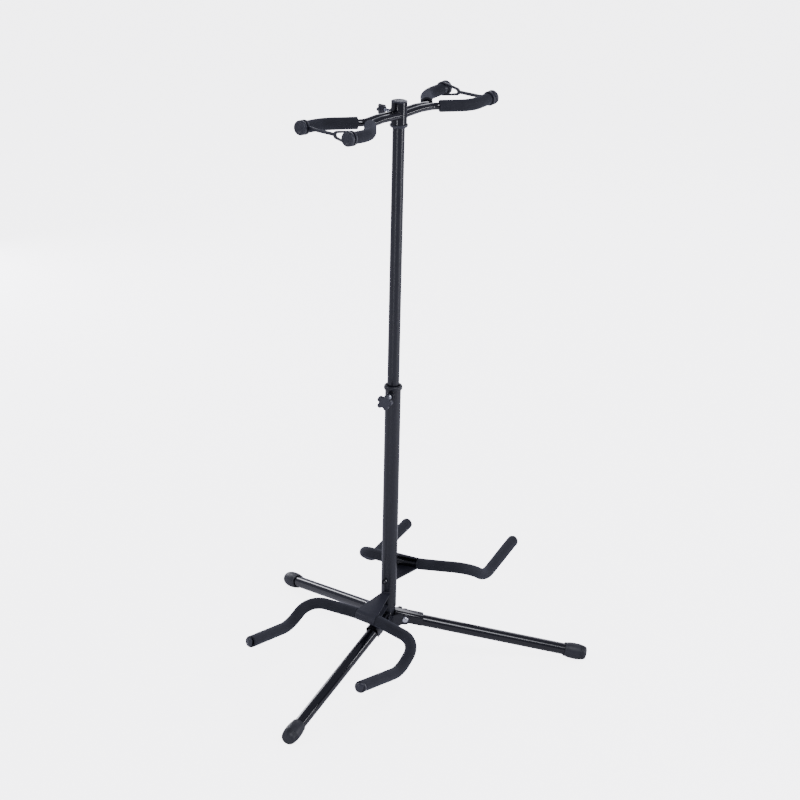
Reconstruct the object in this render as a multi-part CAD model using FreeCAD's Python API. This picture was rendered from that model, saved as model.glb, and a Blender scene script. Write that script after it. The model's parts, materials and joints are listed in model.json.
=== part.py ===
import FreeCAD, Part
import math
import os

# A free-standing steel stand that holds two guitars back to back.
# Millimetres, +Z up. The origin is on the pole's axis at floor level. The front leg, the front
# body yoke and the front neck fork reach towards -Y.

# --- driving dimensions: pole and base -------------------------------------------------------
POLE_OD = 25.0              # lower tube
POLE_ID = 22.0
MAST_OD = 19.0              # upper tube, telescopes in the lower one
MAST_ID = 16.6
FIT = 0.10                  # radial play of a sliding or turning fit
PIN_FIT = 0.05              # radial play of a screw or rivet in its hole
POLE_FOOT_Z = 98.0
POLE_TOP_Z = 473.5
POST_FOOT_Z = 58.0          # swaged base post: full size at the hub, reduced where it enters the pole
POST_STEP_Z = 84.0
POST_TOP_Z = 155.0
POST_OD = 24.9
POST_WALL = 2.0
PLUG_LIP = 3.0              # the post's plastic plug: thickness of its lip, and length of its skirt
PLUG_SKIRT = 9.0
BOLT_Z = 146.0              # cross bolt that keeps the pole on the base post
BOLT_R = 2.5
BOLT_HEAD_R = 4.6
BOLT_HEAD = 3.2
BOLT_END = 8.0              # how far its thread end stands out of the pole
CROSS_NUT_FLATS = 8.0
CROSS_NUT = 4.0

# --- legs ------------------------------------------------------------------------------------
HUB_Z = 82.9                # height where the three leg axes meet the pole's axis
FOOT_REACH = 326.3          # from the pole's axis to the middle of a foot's end face
FOOT_END_Z = 9.4
LEG_OD = 19.0
LEG_WALL = 1.2
LEG_AZIMUTHS = {"front": -90.0, "right": 30.0, "left": 150.0}
LEG_SLOPE = math.atan2(HUB_Z - FOOT_END_Z, FOOT_REACH)
LEG_LENGTH = math.hypot(FOOT_REACH, HUB_Z - FOOT_END_Z)
PIVOT_REACH = 27.0          # rivet's distance from the pole's axis
PIVOT_ALONG = PIVOT_REACH / math.cos(LEG_SLOPE)
PIVOT_Z = HUB_Z - PIVOT_REACH * math.tan(LEG_SLOPE)
RIVET_R = 3.0
RIVET_DOME_R = 6.4          # radius of the sphere that the rivet's low head is cut from
RIVET_DOME_IN = 3.995       # depth of that sphere's centre below the ear's face
CHANNEL_END = 56.5          # outer end of the stamped channel, along the leg
CHANNEL_WALL = 1.1
CHANNEL_INNER = LEG_OD / 2 + 0.1
CHANNEL_OUTER = CHANNEL_INNER + CHANNEL_WALL
CHANNEL_SKIRT = 6.0         # how far its sides reach below the leg's axis
CHANNEL_SHOULDER = 5.5      # radius along its top corners
CHANNEL_BACK_R = 12.6       # radius, about the rivet, of its inner ends
EAR_INNER = CHANNEL_OUTER + 0.25
EAR_WALL = 2.2
EAR_NOSE_R = 8.5
PLATE_FOOT_Z = POST_FOOT_Z + 2.0
FOOT_BORE = LEG_OD / 2 + 0.02
FOOT_LENGTH = 37.0
FOOT_END_WALL = 11.9        # rubber beyond the end of the leg's tube

# --- body yokes ------------------------------------------------------------------------------
YOKE_TUBE_R = 6.0
YOKE_WALL = 1.2
YOKE_FOAM_R = 9.35
YOKE_PLUG_R = 7.8
YOKE_PLUG = 5.0             # thickness of the plug's domed cap, and length of its skirt
YOKE_PLUG_SKIRT = 10.0
YOKE_OUT = 67.0             # distance of the yoke's bar from the pole's axis
YOKE_HALF_FLAT = 22.0       # half of the straight middle of the bar
YOKE_SHOULDER = (100.7, 81.8, 0.0)      # across, out, up: where the bar turns into the arm
YOKE_DIP = (104.0, 133.1, -30.0)        # lowest point of the arm
YOKE_TIP = (100.3, 252.6, -8.3)
YOKE_BENDS = (20.0, 36.0, 55.0)         # bend radii: middle, shoulder, dip
GUSSET_HALF = 18.0
GUSSET_HALF_AXIS = 4.0      # what its taper from the bar would come to at the pole's axis
GUSSET_WALL = 2.5
# height of the bar's frame, yaw, roll and pitch of each yoke as it is welded on, how far its
# tube sits off the middle of the gusset, and the heights at which the gusset meets the pole,
# measured from the bar's frame
YOKES = {
    "front": {"z": 101.5, "yaw": -2.9, "roll": 6.0, "pitch": -1.9, "shift": 0.0, "top": 24.5, "foot": 0.5},
    "rear": {"z": 151.0, "yaw": 180.3, "roll": 3.9, "pitch": 3.0, "shift": -3.5, "top": 38.5, "foot": -12.0},
}

# --- telescope and its clamp -----------------------------------------------------------------
MAST_FOOT_Z = 285.0
MAST_TOP_Z = 928.0
GLIDE_HEIGHT = 14.0
COLLAR_FLANGE_R = 14.7
COLLAR_TOP_Z = 481.6
COLLAR_LINER_Z = 440.0
PAD_THICKNESS = 1.8         # of the pad between a clamp's screw and the tube that it grips
KNOB_LOBES = 5
KNOB_HUB_SHARE = 0.35       # share of a knob's thickness that its plain hub takes
KNOB_CROWN = 4.0            # plastic over the screw's outer end
POLE_CLAMP = {"z": 467.0, "azimuth": -80.0, "screw_r": 3.0, "nut_r": 6.0, "nut_out": 17.0,
              "knob_in": 34.0, "knob_out": 47.0, "hub_r": 6.5, "knob_r": 12.5, "lobe_r": 4.0,
              "pad_in": MAST_OD / 2 + 0.3}

# --- head ------------------------------------------------------------------------------------
HEAD_YAW = -11.6            # the head swivels on the mast; this is how it stands
SLEEVE_R = 12.3
SLEEVE_INNER_R = 11.2
SLEEVE_FOOT_Z = 900.6
SLEEVE_TOP_Z = 934.2
CROWN_HEIGHT = 2.6
BUSH_FLANGE_R = 14.0
BUSH_FOOT_Z = 895.0
FORK_TUBE_R = 5.6
FORK_WALL = 1.2
FORK_FOAM_R = 9.4
FORK_HALF_GAP = 5.65                    # a fork's two tubes lie this far to each side of its middle
FORK_START = (FORK_HALF_GAP, 3.0, 915.0)    # across, out, height
FORK_RISE = (FORK_HALF_GAP, 45.0, 916.5)
FORK_ROOT = (FORK_HALF_GAP, 74.0, 914.8)
FORK_SHOULDER = (45.5, 121.5, 914.8)
FORK_TIP = (45.5, 170.0, 918.2)
FORK_BENDS = (60.0, 24.0, 50.0)
FORK_FOAM_START = 0.16                  # how far along root-to-shoulder each foam sleeve starts
# distances along a prong's straight end, from where its line would meet the pole's axis plane
PRONG_SLOPE = math.atan2(FORK_TIP[2] - FORK_SHOULDER[2], FORK_TIP[1] - FORK_SHOULDER[1])
PRONG_END = FORK_TIP[1] / math.cos(PRONG_SLOPE)
FOAM_END = 160.0
STRAP_SPAN = (161.6, 165.8)
CAP_FLANGE = (167.5, 175.0)
CAP_FLANGE_R = 11.25
CAP_NECK_R = 8.7
STRAP_RING_R = 11.3
STRAP_WEB_HALF = 2.3
STRAP_ROOT_HALF = 4.4                   # the web widens to this at its collar, over the root's length
STRAP_ROOT = 22.0
STRAP_LOOP_ACROSS = 63.5                # from the collar's middle to the middle of the loop's narrow end
STRAP_LOOP_R = 6.2                      # outer and inner radii of that narrow end
STRAP_LOOP_INNER = 2.8
HEAD_CLAMP = {"z": 917.3, "azimuth": 180.0, "screw_r": 2.5, "nut_r": 4.6, "nut_out": 15.5,
              "knob_in": 27.5, "knob_out": 38.0, "hub_r": 4.6, "knob_r": 8.2, "lobe_r": 2.8,
              "pad_in": MAST_OD / 2 + 0.3}

UP = FreeCAD.Vector(0, 0, 1)
ORIGIN = FreeCAD.Vector(0, 0, 0)


def vec(x, y, z):
    return FreeCAD.Vector(x, y, z)


def rod(radius, z0, z1):
    """An upright cylinder on the Z axis."""
    return Part.makeCylinder(radius, z1 - z0, vec(0, 0, z0))


def pipe(outer, inner, z0, z1):
    """An upright tube on the Z axis."""
    return rod(outer, z0, z1).cut(rod(inner, z0 - 1, z1 + 1))


def turned(profile):
    """Revolves a closed (radius, height) outline about Z."""
    points = [vec(r, 0, z) for r, z in profile]
    face = Part.Face(Part.makePolygon(points + points[:1]))
    return face.revolve(ORIGIN, UP, 360)


def swing(shape, azimuth):
    """Turns a shape about the Z axis, in degrees."""
    turned_shape = shape.copy()
    turned_shape.rotate(ORIGIN, UP, azimuth)
    return turned_shape


def lay(shape, height=0.0, azimuth=0.0):
    """Lays a shape built along Z down along +X at a height, then swings it to an azimuth."""
    laid = shape.copy()
    laid.rotate(ORIGIN, vec(0, 1, 0), 90)
    laid.translate(vec(0, 0, height))
    return swing(laid, azimuth)


def bent_path(points, radii):
    """Straight runs through the points, joined by tangent arcs at the inner ones."""
    edges = []
    last = points[0]
    for before, corner, after, radius in zip(points, points[1:], points[2:], radii):
        back = (before - corner).normalize()
        ahead = (after - corner).normalize()
        half_turn = (math.pi - back.getAngle(ahead)) / 2
        reach = radius * math.tan(half_turn)
        inward = (back + ahead).normalize()
        start = corner + back * reach
        end = corner + ahead * reach
        middle = corner + inward * (radius / math.cos(half_turn) - radius)
        edges.append(Part.LineSegment(last, start).toShape())
        edges.append(Part.Arc(start, middle, end).toShape())
        last = end
    edges.append(Part.LineSegment(last, points[-1]).toShape())
    return Part.Wire(edges)


def swept(points, radii, radius):
    """A round bar along a bent path."""
    path = bent_path(points, radii)
    start = (points[1] - points[0]).normalize()
    ring = Part.Wire([Part.Circle(points[0], start, radius).toShape()])
    return path.makePipeShell([ring], True, False)


def bent_tube(points, radii, outer, inner):
    return swept(points, radii, outer).cut(swept(points, radii, inner))


def between(a, b, share):
    """The point a share of the way from a to b."""
    return a + (b - a) * share


# --- base ------------------------------------------------------------------------------------
def base_post():
    outline = [
        (POST_OD / 2 - POST_WALL, POST_FOOT_Z),
        (POST_OD / 2, POST_FOOT_Z),
        (POST_OD / 2, POST_STEP_Z),
        (POLE_ID / 2 - PIN_FIT, POST_STEP_Z),
        (POLE_ID / 2 - PIN_FIT, POST_TOP_Z),
        (POLE_ID / 2 - POST_WALL, POST_TOP_Z),
        (POLE_ID / 2 - POST_WALL, POST_STEP_Z - POST_WALL),
        (POST_OD / 2 - POST_WALL, POST_STEP_Z - 2 * POST_WALL),
    ]
    return turned(outline).cut(bolt_hole())


def across(radius, y0, y1, x, z):
    """A cylinder along Y."""
    return Part.makeCylinder(radius, y1 - y0, vec(x, y0, z), vec(0, 1, 0))


def bolt_hole():
    return across(BOLT_R + PIN_FIT, -POLE_OD, POLE_OD, 0, BOLT_Z)


def post_plug():
    """Pushed-in plastic plug that closes the post's foot."""
    skirt = POST_OD / 2 - POST_WALL - PIN_FIT
    lip = POST_OD / 2 - 0.2
    outline = [
        (0, POST_FOOT_Z - PLUG_LIP),
        (lip - 1.3, POST_FOOT_Z - PLUG_LIP),
        (lip, POST_FOOT_Z - PLUG_LIP / 2),
        (lip, POST_FOOT_Z),
        (skirt, POST_FOOT_Z),
        (skirt, POST_FOOT_Z + PLUG_SKIRT),
        (0, POST_FOOT_Z + PLUG_SKIRT),
    ]
    return turned(outline)


def pole_tube():
    tube = pipe(POLE_OD / 2, POLE_ID / 2, POLE_FOOT_Z, POLE_TOP_Z).cut(bolt_hole())
    return tube.cut(clamp_hole(POLE_CLAMP))


def cross_bolt():
    """Pan-head bolt, head at the back and thread end at the front."""
    seat = POLE_OD / 2 + PIN_FIT
    shank = across(BOLT_R, -POLE_OD / 2 - BOLT_END, seat + 1, 0, BOLT_Z)
    head = across(BOLT_HEAD_R, seat, seat + BOLT_HEAD, 0, BOLT_Z)
    head = head.makeFillet(1.4, [e for e in head.Edges if e.CenterOfMass.y > seat + BOLT_HEAD - 0.1])
    return shank.fuse(head).removeSplitter()


def hexagon(across_flats, length, bore):
    """A hexagonal nut standing on the XY plane."""
    radius = across_flats / math.sqrt(3)
    corners = [vec(radius * math.cos(math.radians(60 * k)), radius * math.sin(math.radians(60 * k)), 0)
               for k in range(6)]
    body = Part.Face(Part.makePolygon(corners + corners[:1])).extrude(vec(0, 0, length))
    return body.cut(Part.makeCylinder(bore, length + 2, vec(0, 0, -1)))


def cross_nut():
    nut = hexagon(CROSS_NUT_FLATS, CROSS_NUT, BOLT_R + 0.02)
    nut.rotate(ORIGIN, vec(1, 0, 0), 90)
    nut.translate(vec(0, -POLE_OD / 2 - 0.4, BOLT_Z))
    return nut


def ear(side):
    """One ear of a hub plate beside a leg that runs along +X; side is the sign of its Y."""
    near = EAR_INNER / math.tan(math.radians(60))
    crest = PIVOT_Z + EAR_NOSE_R + 4.2
    outline = [
        vec(near, 0, PLATE_FOOT_Z),
        vec(PIVOT_REACH - 4.0, 0, PIVOT_Z - EAR_NOSE_R + 0.6),
        vec(PIVOT_REACH, 0, PIVOT_Z),
        vec(PIVOT_REACH - 4.5, 0, crest - 1.2),
        vec(PIVOT_REACH - 8.5, 0, crest),
        vec(PIVOT_REACH - 13.5, 0, crest - 2.8),
        vec(near, 0, POST_STEP_Z),
    ]
    y0 = EAR_INNER if side > 0 else -EAR_INNER - EAR_WALL
    plate = Part.Face(Part.makePolygon(outline + outline[:1])).extrude(vec(0, EAR_WALL, 0))
    nose = across(EAR_NOSE_R, 0, EAR_WALL, PIVOT_REACH, PIVOT_Z)
    hole = across(RIVET_R, -1, EAR_WALL + 1, PIVOT_REACH, PIVOT_Z)
    shape = plate.fuse(nose).removeSplitter().cut(hole)
    shape.translate(vec(0, y0, 0))
    return shape


def hub_plate(azimuth):
    """One V-shaped stamping: an ear of the leg at this azimuth and an ear of the next leg round."""
    first = swing(ear(1), azimuth)
    second = swing(ear(-1), azimuth + 120)
    inner = EAR_INNER / math.sin(math.radians(60))
    outer = (EAR_INNER + EAR_WALL) / math.sin(math.radians(60))
    side = EAR_WALL * math.tan(math.radians(30))
    corner = [
        vec(inner, 0, PLATE_FOOT_Z),
        vec(outer - EAR_WALL / 2, side, PLATE_FOOT_Z),
        vec(outer, 0, PLATE_FOOT_Z),
        vec(outer - EAR_WALL / 2, -side, PLATE_FOOT_Z),
    ]
    bend = Part.Face(Part.makePolygon(corner + corner[:1])).extrude(vec(0, 0, POST_STEP_Z - PLATE_FOOT_Z))
    bend = swing(bend, azimuth + 60)
    return first.fuse([second, bend]).removeSplitter().cut(rod(POST_OD / 2, 0, POLE_FOOT_Z))


def to_leg(shape, azimuth):
    """Places a shape built along +X, with the hub at the origin, as the leg at this azimuth."""
    placed = shape.copy()
    placed.rotate(ORIGIN, vec(0, 1, 0), math.degrees(LEG_SLOPE))
    placed.translate(vec(0, 0, HUB_Z))
    return swing(placed, azimuth)


def pivot_hole():
    return across(RIVET_R + PIN_FIT, -LEG_OD, LEG_OD, PIVOT_ALONG, 0)


def leg_tube():
    start = PIVOT_ALONG - 9.2
    end = LEG_LENGTH - FOOT_END_WALL - 0.1
    outer = Part.makeCylinder(LEG_OD / 2, end - start, vec(start, 0, 0), vec(1, 0, 0))
    inner = Part.makeCylinder(LEG_OD / 2 - LEG_WALL, end - start + 2, vec(start - 1, 0, 0), vec(1, 0, 0))
    return outer.cut(inner).cut(pivot_hole())


def rounded_bar(x0, x1, half, foot, shoulder):
    """A bar along +X, half wide to each side and above, with its two top corners rounded."""
    bar = Part.makeBox(x1 - x0, 2 * half, half - foot, vec(x0, -half, foot))
    corners = [e for e in bar.Edges if abs(e.CenterOfMass.z - half) < 0.01 and abs(e.CenterOfMass.y) > 1]
    return bar.makeFillet(shoulder, corners)


def leg_channel():
    """Stamped channel, open below, that carries the leg on its rivet and stops against the post."""
    stop = (POLE_ID / 2 + 0.1 - CHANNEL_INNER * math.sin(LEG_SLOPE)) / math.cos(LEG_SLOPE)
    inside = CHANNEL_SHOULDER - CHANNEL_WALL
    outer = rounded_bar(stop, CHANNEL_END, CHANNEL_OUTER, -CHANNEL_SKIRT, CHANNEL_SHOULDER)
    hollow = rounded_bar(0, CHANNEL_END + 1, CHANNEL_INNER, -CHANNEL_SKIRT - 1, inside)
    # the side walls end in an arc about the rivet, so that they clear the post as the leg folds
    back = across(CHANNEL_BACK_R, -LEG_OD, LEG_OD, PIVOT_ALONG, 0)
    beyond = Part.makeBox(CHANNEL_END, 2 * LEG_OD, 2 * LEG_OD, vec(PIVOT_ALONG, -LEG_OD, -LEG_OD))
    web = Part.makeBox(PIVOT_ALONG, 2 * LEG_OD, LEG_OD, vec(0, -LEG_OD, CHANNEL_INNER - inside))
    return outer.cut(hollow).common(back.fuse([beyond, web])).cut(pivot_hole())


def leg_rivet():
    """Round-headed rivet across both ears."""
    half = EAR_INNER + EAR_WALL
    rivet = across(RIVET_R, -half, half, PIVOT_ALONG, 0)
    for side in (-1, 1):
        ball = Part.makeSphere(RIVET_DOME_R, vec(PIVOT_ALONG, side * (half - RIVET_DOME_IN), 0))
        face = vec(PIVOT_ALONG, side * half, 0)
        cover = Part.makeCylinder(RIVET_DOME_R, RIVET_DOME_R, face, vec(0, side, 0))
        rivet = rivet.fuse(ball.common(cover))
    return rivet.removeSplitter()


def leg_foot():
    """Rubber ferrule, barrel-shaped, with the flat that it stands on."""
    end = LEG_LENGTH
    start = end - FOOT_LENGTH
    outline = [
        (FOOT_BORE, start),
        (11.2, start),
        (12.3, start + 6.0),
        (13.0, start + 12.0),
        (13.2, start + 18.5),
        (13.0, start + 25.0),
        (11.9, start + 31.0),
        (10.9, start + 34.5),
        (9.4, end),
        (0, end),
        (0, end - FOOT_END_WALL),
        (FOOT_BORE, end - FOOT_END_WALL),
    ]
    ferrule = turned(outline)
    ferrule.rotate(ORIGIN, vec(0, 1, 0), 90)
    return ferrule


def standing(shape):
    """Trims a placed foot at the floor."""
    below = Part.makeBox(1000, 1000, 50, vec(-500, -500, -50))
    return shape.cut(below)


# --- body yokes ------------------------------------------------------------------------------
def yoke_place(shape, yoke):
    """Moves a shape from a yoke's own frame (arms along -Y, bar at height 0) to its place."""
    turn = FreeCAD.Rotation(UP, yoke["yaw"])
    turn = turn.multiply(FreeCAD.Rotation(vec(0, 1, 0), yoke["roll"]))
    turn = turn.multiply(FreeCAD.Rotation(vec(1, 0, 0), yoke["pitch"]))
    placed = shape.copy()
    placed.Placement = FreeCAD.Placement(vec(0, 0, yoke["z"]), turn).multiply(placed.Placement)
    return placed


def yoke_arm(side, shift):
    """The points of one arm, from the bar to its tip."""
    places = ((YOKE_HALF_FLAT, YOKE_OUT, 0), YOKE_SHOULDER, YOKE_DIP, YOKE_TIP)
    return [vec(side * across + shift, -out, up) for across, out, up in places]


def yoke_tube(shift):
    middle, shoulder, dip = YOKE_BENDS
    points = yoke_arm(-1, shift)[::-1] + yoke_arm(1, shift)
    radii = (dip, shoulder, middle, middle, shoulder, dip)
    return bent_tube(points, radii, YOKE_TUBE_R, YOKE_TUBE_R - YOKE_WALL)


def yoke_foam(side, shift):
    points = [vec(shift, -YOKE_OUT, 0)] + yoke_arm(side, shift)
    sleeve = bent_tube(points, YOKE_BENDS, YOKE_FOAM_R, YOKE_TUBE_R + FIT)
    bare = GUSSET_HALF + 0.4
    return sleeve.cut(Part.makeBox(2 * bare, YOKE_OUT, YOKE_OUT, vec(-bare, -1.5 * YOKE_OUT, -YOKE_OUT / 2)))


def yoke_plug(side, shift):
    """Domed plastic plug pushed into the end of an arm."""
    skirt = rod(YOKE_TUBE_R - YOKE_WALL - PIN_FIT, -YOKE_PLUG_SKIRT, 1)
    cap = rod(YOKE_PLUG_R, PIN_FIT, YOKE_PLUG)
    cap = cap.makeFillet(3.6, [e for e in cap.Edges if e.CenterOfMass.z > YOKE_PLUG - 0.1])
    plug = skirt.fuse(cap).removeSplitter()
    dip, tip = yoke_arm(side, shift)[-2:]
    outward = (tip - dip).normalize()
    plug.Placement = FreeCAD.Placement(tip, FreeCAD.Rotation(UP, outward))
    return plug


def tangent_point(point, centre, radius, side):
    """Where a line from point touches a circle, in a plane; side picks which of the two."""
    away = (point[0] - centre[0], point[1] - centre[1])
    distance = math.hypot(*away)
    angle = math.atan2(away[1], away[0]) + side * math.acos(radius / distance)
    return (centre[0] + radius * math.cos(angle), centre[1] + radius * math.sin(angle))


def wedge(radius, yoke, inset):
    """Solid wedge from the pole to a nose round the bar, in the plane out-and-up."""
    centre = (YOKE_OUT, 0.0)
    root = POLE_OD / 2 - 4.0
    top = (root, yoke["top"] - inset)
    foot = (root, yoke["foot"] + inset)
    top_touch = tangent_point(top, centre, radius, -1)
    foot_touch = tangent_point(foot, centre, radius, 1)
    nose = (YOKE_OUT + radius, 0.0)

    def at(place):
        return vec(-2 * GUSSET_HALF, -place[0], place[1])

    edges = [
        Part.LineSegment(at(foot), at(top)).toShape(),
        Part.LineSegment(at(top), at(top_touch)).toShape(),
        Part.Arc(at(top_touch), at(nose), at(foot_touch)).toShape(),
        Part.LineSegment(at(foot_touch), at(foot)).toShape(),
    ]
    return Part.Face(Part.Wire(edges)).extrude(vec(4 * GUSSET_HALF, 0, 0))


def gusset(name):
    """Sheet folded round the bar, wide there and narrower at the pole, welded to both."""
    yoke = YOKES[name]
    sheet = wedge(YOKE_FOAM_R - 0.1, yoke, 0.0)
    hollow = wedge(YOKE_TUBE_R + 0.02, yoke, GUSSET_WALL)
    gap = yoke["top"] - yoke["foot"] - 2 * GUSSET_WALL
    root = POLE_OD / 2
    hollow = hollow.fuse(Part.makeBox(4 * GUSSET_HALF, root, gap,
                                      vec(-2 * GUSSET_HALF, -root, yoke["foot"] + GUSSET_WALL)))
    plan = [(GUSSET_HALF_AXIS, 0), (GUSSET_HALF, YOKE_OUT), (GUSSET_HALF, 2 * YOKE_OUT)]
    corners = [vec(-half, -out, -POLE_OD * 2) for half, out in plan]
    corners += [vec(half, -out, -POLE_OD * 2) for half, out in reversed(plan)]
    trim = Part.Face(Part.makePolygon(corners + corners[:1])).extrude(vec(0, 0, POLE_OD * 6))
    shape = yoke_place(sheet.cut(hollow).common(trim), yoke)
    # the pole's bolt passes through a notch
    notch = across(BOLT_HEAD_R + 0.5, 0, POLE_OD / 2 + BOLT_HEAD + 1, 0, BOLT_Z)
    shape = shape.cut(rod(POLE_OD / 2, 0, POLE_TOP_Z)).cut(notch)
    return max(shape.Solids, key=lambda solid: solid.Volume)


# --- telescope and clamps --------------------------------------------------------------------
def collar():
    """Plastic collar: a rounded flange on the pole's rim and a liner inside the pole."""
    inner = MAST_OD / 2 + FIT
    outline = [
        (inner, COLLAR_LINER_Z),
        (POLE_ID / 2 - PIN_FIT, COLLAR_LINER_Z),
        (POLE_ID / 2 - PIN_FIT, POLE_TOP_Z),
        (COLLAR_FLANGE_R - 1.6, POLE_TOP_Z),
        (COLLAR_FLANGE_R - 0.4, POLE_TOP_Z + 1.4),
        (COLLAR_FLANGE_R, POLE_TOP_Z + 3.4),
        (COLLAR_FLANGE_R, COLLAR_TOP_Z - 2.6),
        (COLLAR_FLANGE_R - 0.9, COLLAR_TOP_Z - 0.7),
        (COLLAR_FLANGE_R - 2.2, COLLAR_TOP_Z),
        (inner + 2.0, COLLAR_TOP_Z - 0.8),
        (inner, COLLAR_TOP_Z - 3.6),
    ]
    return turned(outline).cut(clamp_hole(POLE_CLAMP))


def clamp_hole(clamp):
    """Clear hole for a clamp's screw, from the axis outward."""
    return lay(rod(clamp["screw_r"] + 0.3, 0, POLE_OD), clamp["z"], clamp["azimuth"])


def clamp_nut(clamp, wall_r):
    """Round threaded boss welded to the outside of a tube."""
    boss = pipe(clamp["nut_r"], clamp["screw_r"] + PIN_FIT, wall_r - 2, clamp["nut_out"])
    tube = rod(wall_r, clamp["z"] - POLE_OD, clamp["z"] + POLE_OD)
    return lay(boss, clamp["z"], clamp["azimuth"]).cut(tube)


def clamp_pad(clamp):
    """Small disc between the screw's tip and the inner tube."""
    pad = rod(clamp["screw_r"] - 0.15, clamp["pad_in"], clamp["pad_in"] + PAD_THICKNESS)
    return lay(pad, clamp["z"], clamp["azimuth"])


def clamp_screw(clamp):
    screw = rod(clamp["screw_r"], clamp["pad_in"] + PAD_THICKNESS, clamp["knob_out"] - KNOB_CROWN)
    return lay(screw, clamp["z"], clamp["azimuth"])


def clamp_knob(clamp):
    """Moulded star knob with five lobes and a tapered hub towards the tube."""
    thickness = clamp["knob_out"] - clamp["knob_in"]
    disc_from = clamp["knob_in"] + KNOB_HUB_SHARE * thickness
    hub = Part.makeCone(clamp["hub_r"], clamp["hub_r"] + 1.0, disc_from - clamp["knob_in"],
                        vec(0, 0, clamp["knob_in"]))
    reach = clamp["knob_r"] - clamp["lobe_r"]
    star = rod(reach, disc_from, clamp["knob_out"])
    for k in range(KNOB_LOBES):
        angle = 2 * math.pi * k / KNOB_LOBES + math.radians(18)
        lobe = rod(clamp["lobe_r"], disc_from, clamp["knob_out"])
        lobe.translate(vec(reach * math.cos(angle), reach * math.sin(angle), 0))
        star = star.fuse(lobe)
    star = star.removeSplitter()
    rim = [e for e in star.Edges if abs(e.CenterOfMass.z - clamp["knob_out"]) < 0.01]
    star = star.makeFillet(0.9, rim)
    knob = hub.fuse(star).removeSplitter()
    bore = rod(clamp["screw_r"], 0, clamp["knob_out"] - KNOB_CROWN)
    return lay(knob.cut(bore), clamp["z"], clamp["azimuth"])


def mast_tube():
    return pipe(MAST_OD / 2, MAST_ID / 2, MAST_FOOT_Z, MAST_TOP_Z)


def glide_ring():
    """Plastic ring on the mast's foot that runs in the pole."""
    outer = POLE_ID / 2 - FIT
    outline = [
        (MAST_ID / 2, MAST_FOOT_Z - 2.0),
        (outer - 0.8, MAST_FOOT_Z - 2.0),
        (outer, MAST_FOOT_Z - 0.8),
        (outer, MAST_FOOT_Z + GLIDE_HEIGHT),
        (MAST_OD / 2 + 0.02, MAST_FOOT_Z + GLIDE_HEIGHT),
        (MAST_OD / 2 + 0.02, MAST_FOOT_Z),
        (MAST_ID / 2, MAST_FOOT_Z),
    ]
    return turned(outline)


# --- head ------------------------------------------------------------------------------------
def head(shape):
    return swing(shape, HEAD_YAW)


def head_sleeve():
    sleeve = pipe(SLEEVE_R, SLEEVE_INNER_R, SLEEVE_FOOT_Z, SLEEVE_TOP_Z)
    return sleeve.cut(clamp_hole(HEAD_CLAMP))


def head_crown():
    """Plastic plug that closes the sleeve, with a low crowned top."""
    top = SLEEVE_TOP_Z + CROWN_HEIGHT
    outline = [
        (0, MAST_TOP_Z + 0.8),
        (SLEEVE_INNER_R - PIN_FIT, MAST_TOP_Z + 0.8),
        (SLEEVE_INNER_R - PIN_FIT, SLEEVE_TOP_Z),
        (SLEEVE_R, SLEEVE_TOP_Z),
        (SLEEVE_R, SLEEVE_TOP_Z + 0.8),
        (SLEEVE_R - 0.7, SLEEVE_TOP_Z + 1.8),
        (SLEEVE_R - 3.6, top - 0.2),
        (0, top),
    ]
    return turned(outline)


def head_bush():
    """Plastic bush under the sleeve: the head turns on the mast in it."""
    inner = MAST_OD / 2 + FIT
    outline = [
        (inner, BUSH_FOOT_Z),
        (BUSH_FLANGE_R - 2.6, BUSH_FOOT_Z),
        (BUSH_FLANGE_R, BUSH_FOOT_Z + 2.4),
        (BUSH_FLANGE_R, SLEEVE_FOOT_Z - 0.8),
        (BUSH_FLANGE_R - 0.6, SLEEVE_FOOT_Z),
        (SLEEVE_INNER_R - PIN_FIT, SLEEVE_FOOT_Z),
        (SLEEVE_INNER_R - PIN_FIT, MAST_TOP_Z - 1.0),
        (inner, MAST_TOP_Z - 1.0),
    ]
    return turned(outline).cut(clamp_hole(HEAD_CLAMP))


def fork_point(place, side=1):
    across, out, height = place
    return vec(side * across, -out, height)


def fork_tube(side):
    """One of a fork's two tubes: out of the sleeve beside its twin, then away into a prong."""
    points = [fork_point(p, side) for p in (FORK_START, FORK_RISE, FORK_ROOT, FORK_SHOULDER, FORK_TIP)]
    tube = bent_tube(points, FORK_BENDS, FORK_TUBE_R, FORK_TUBE_R - FORK_WALL)
    return tube.cut(rod(SLEEVE_R, 0, 2 * MAST_TOP_Z))


def prong(side, along):
    """The point of a prong's straight end, or of its line, this far from the pole's axis plane."""
    shoulder = fork_point(FORK_SHOULDER, side)
    outward = (fork_point(FORK_TIP, side) - shoulder).normalize()
    return shoulder + outward * (along - FORK_SHOULDER[1] / abs(outward.y))


def fork_foam(side):
    root = fork_point(FORK_ROOT, side)
    shoulder = fork_point(FORK_SHOULDER, side)
    points = [between(root, shoulder, FORK_FOAM_START), shoulder, prong(side, FOAM_END)]
    return bent_tube(points, FORK_BENDS[2:], FORK_FOAM_R, FORK_TUBE_R + FIT)


def along_prong(shape, side):
    """Moves a shape built along Z onto a prong's line, with Z as the distance along it."""
    foot = prong(side, 0)
    outward = (prong(side, 1) - foot).normalize()
    placed = shape.copy()
    placed.Placement = FreeCAD.Placement(foot, FreeCAD.Rotation(UP, outward)).multiply(placed.Placement)
    return placed


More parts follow.
